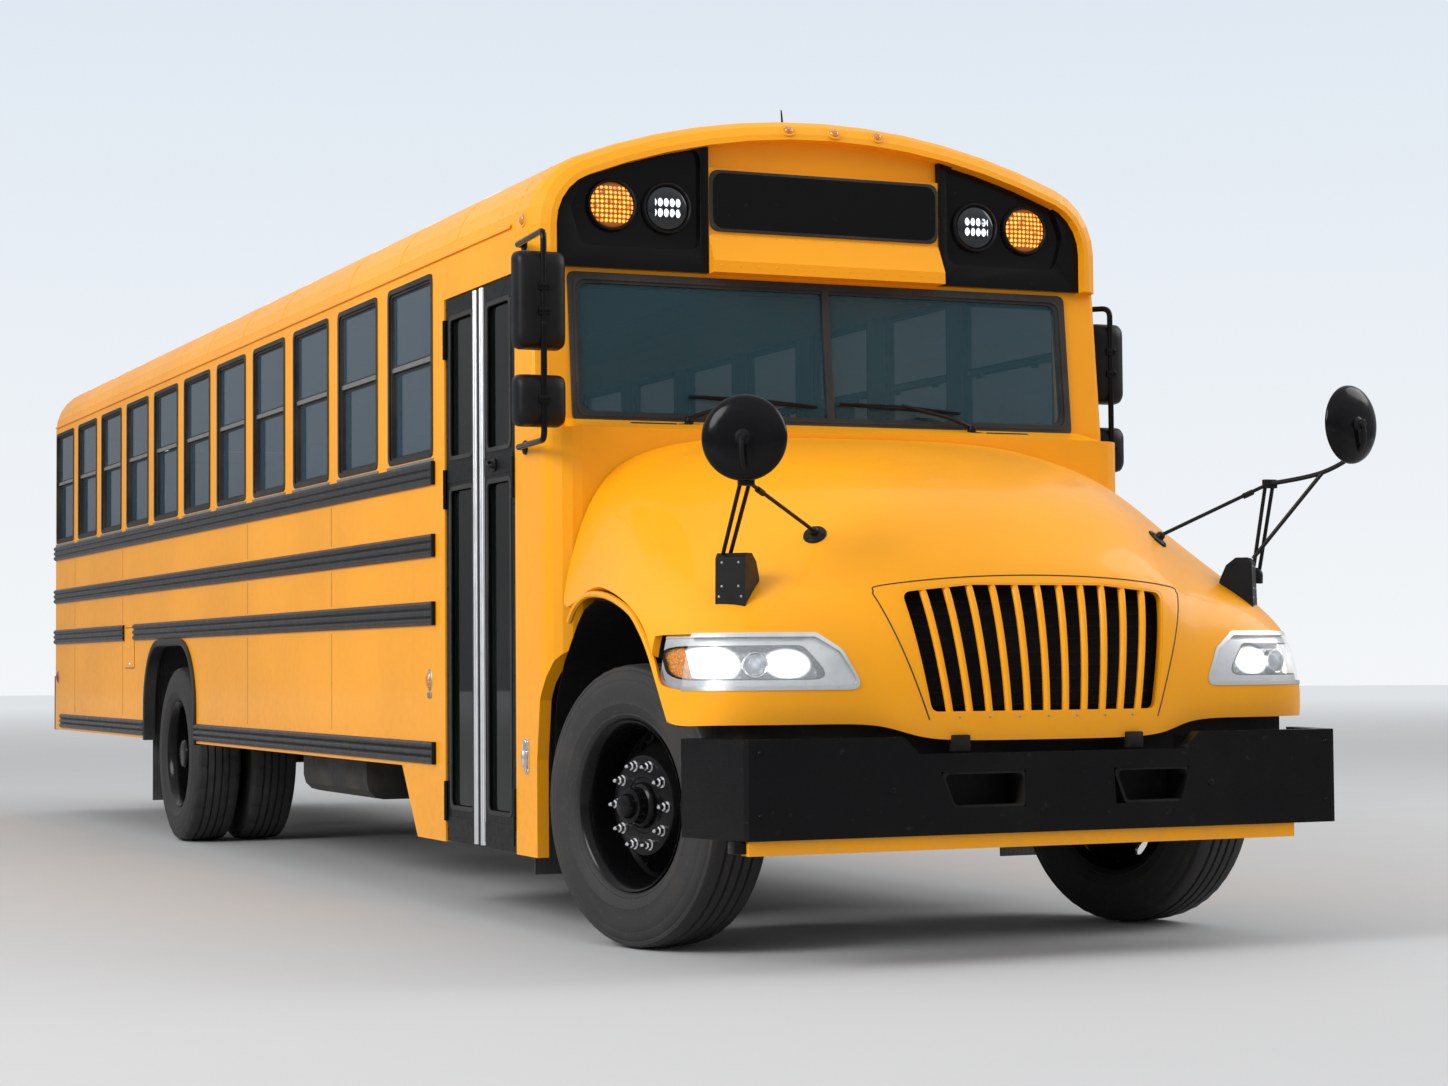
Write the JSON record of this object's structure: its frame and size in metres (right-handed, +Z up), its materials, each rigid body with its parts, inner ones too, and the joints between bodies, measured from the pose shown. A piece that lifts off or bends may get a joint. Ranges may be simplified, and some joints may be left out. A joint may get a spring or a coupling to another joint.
{
  "type": "school bus",
  "caption": "Long-nose school bus with hollow body, folding-leaf entrance door, tilting hood, steered front wheels and twin rear wheels.",
  "frame": {"origin": "on the ground at mid length on the centreline", "axes": "+Z up, front looks along -Y, +X is the bus's left, so the entrance door is at -X"},
  "size_m": [2.8064, 11.8, 3.15],
  "materials": {
    "bus_yellow": "glossy school bus yellow paint",
    "roof_white": "white roof paint",
    "gloss_black": "gloss black paint",
    "chassis_black": "satin black chassis paint",
    "tyre_rubber": "black tyre rubber",
    "tinted_glass": "tinted safety glass in frames",
    "clear_lens": "clear lamp lens",
    "seat_vinyl": "dark seat vinyl",
    "trim_grey": "dark grey cab trim",
    "engine_iron": "dark cast iron and steel",
    "stop_red": "red sign face"
  },
  "bodies": {
    "root": {"bumper_strip": "bus_yellow", "cowl": "bus_yellow", "dashboard": "trim_grey", "drive_shaft": "engine_iron", "driver_seat": "seat_vinyl", "engine": "engine_iron", "exhaust": "engine_iron", "floor": "chassis_black", "frame_rails": "chassis_black", "front_axle": "chassis_black", "front_bumper": "gloss_black", "front_cap": "bus_yellow", "fuel_tank": "chassis_black", "grab_rails": "bus_yellow", "lamp_panel_left": "gloss_black", "lamp_panel_right": "gloss_black", "mirror_left": "gloss_black", "mirror_right": "gloss_black", "rear_axle": "chassis_black", "rear_bumper": "gloss_black", "rear_cap": "bus_yellow", "rear_glass_left": "tinted_glass", "rear_glass_right": "tinted_glass", "roof": "roof_white", "seats_left": "seat_vinyl", "seats_right": "seat_vinyl", "side_left": "bus_yellow", "side_right": "bus_yellow", "sign_board": "gloss_black", "stop_arm_base": "gloss_black", "windows_left": "tinted_glass", "windows_right": "tinted_glass", "windscreen": "tinted_glass"},
    "hood": {"hood": "bus_yellow", "grille": "bus_yellow", "headlight_right": "clear_lens", "headlight_left": "clear_lens", "crossview_right": "gloss_black", "crossview_left": "gloss_black"},
    "tie_rod": {"tie_rod": "chassis_black"},
    "steering_wheel": {"steering_wheel": "trim_grey"},
    "door_front": {"door_front": "gloss_black"},
    "door_rear": {"door_rear": "gloss_black"},
    "rear_door": {"rear_door": "bus_yellow"},
    "stop_arm": {"stop_arm": "stop_red"},
    "roof_hatch_1": {"roof_hatch_1": "roof_white"},
    "roof_hatch_2": {"roof_hatch_2": "roof_white"},
    "knuckle_right": {"knuckle_right": "chassis_black"},
    "front_wheel_right": {"front_rim_right": "gloss_black", "front_tyre_right": "tyre_rubber"},
    "rear_wheel_right": {"rear_rim_right": "gloss_black", "rear_tyre_right_outer": "tyre_rubber", "rear_tyre_right_inner": "tyre_rubber"},
    "knuckle_left": {"knuckle_left": "chassis_black"},
    "front_wheel_left": {"front_rim_left": "gloss_black", "front_tyre_left": "tyre_rubber"},
    "rear_wheel_left": {"rear_rim_left": "gloss_black", "rear_tyre_left_outer": "tyre_rubber", "rear_tyre_left_inner": "tyre_rubber"}
  },
  "joints": [
    {"name": "steer_left", "type": "hinge", "parent": "root", "child": "knuckle_left", "pos_m": [0.86, -4.806, 0.49572], "axis": [0, 0, 1], "range_deg": [-49.5, 20.5]},
    {"name": "steer_right", "type": "hinge", "parent": "root", "child": "knuckle_right", "pos_m": [-0.86, -4.806, 0.49572], "axis": [0, 0, 1], "range_deg": [-49.5, 20.5]},
    {"name": "tie_rod_pivot", "type": "hinge", "parent": "knuckle_left", "child": "tie_rod", "pos_m": [0.80742, -4.60269, 0.49572], "axis": [0, 0, 1], "range_deg": [-20.5, 49.5]},
    {"name": "front_wheel_left_spin", "type": "hinge", "parent": "knuckle_left", "child": "front_wheel_left", "pos_m": [0.99554, -4.77095, 0.49572], "axis": [0.9681, 0.2504, 0], "continuous": true},
    {"name": "rear_wheel_left_spin", "type": "hinge", "parent": "root", "child": "rear_wheel_left", "pos_m": [1.05, 1.98, 0.49572], "axis": [1, 0, 0], "continuous": true},
    {"name": "front_wheel_right_spin", "type": "hinge", "parent": "knuckle_right", "child": "front_wheel_right", "pos_m": [-0.99554, -4.84105, 0.49572], "axis": [0.9681, 0.2504, 0], "continuous": true},
    {"name": "rear_wheel_right_spin", "type": "hinge", "parent": "root", "child": "rear_wheel_right", "pos_m": [-1.05, 1.98, 0.49572], "axis": [1, 0, 0], "continuous": true},
    {"name": "steering_wheel_turn", "type": "hinge", "parent": "root", "child": "steering_wheel", "pos_m": [0.55, -3.8, 1.78], "axis": [0, 0.788, 0.6157], "range_deg": [-891, 369]},
    {"name": "hood_tilt", "type": "hinge", "parent": "root", "child": "hood", "pos_m": [0, -5.87, 0.7], "axis": [1, 0, 0], "range_deg": [0, 65]},
    {"name": "door_front_swing", "type": "hinge", "parent": "root", "child": "door_front", "pos_m": [-1.219, -3.988, 0.285], "axis": [0, 0, 1], "range_deg": [0, 90]},
    {"name": "door_rear_swing", "type": "hinge", "parent": "root", "child": "door_rear", "pos_m": [-1.219, -3.148, 0.285], "axis": [0, 0, 1], "range_deg": [-90, 0]},
    {"name": "rear_door_swing", "type": "hinge", "parent": "root", "child": "rear_door", "pos_m": [-0.44, 5.7, 1], "axis": [0, 0, 1], "range_deg": [0, 100]},
    {"name": "stop_arm_swing", "type": "hinge", "parent": "root", "child": "stop_arm", "pos_m": [1.254, -3.78, 1.5], "axis": [0, 0, -1], "range_deg": [0, 90]},
    {"name": "roof_hatch_1_lift", "type": "hinge", "parent": "root", "child": "roof_hatch_1", "pos_m": [0, -1.645, 3.115], "axis": [1, 0, 0], "range_deg": [0, 80]},
    {"name": "roof_hatch_2_lift", "type": "hinge", "parent": "root", "child": "roof_hatch_2", "pos_m": [0, 2.355, 3.115], "axis": [1, 0, 0], "range_deg": [0, 80]}
  ],
  "couplings": [
    {"joint": "steer_right", "follows": "steer_left", "ratio": 1},
    {"joint": "tie_rod_pivot", "follows": "steer_left", "ratio": -1},
    {"joint": "steering_wheel_turn", "follows": "steer_left", "ratio": 18},
    {"joint": "door_rear_swing", "follows": "door_front_swing", "ratio": -1}
  ]
}
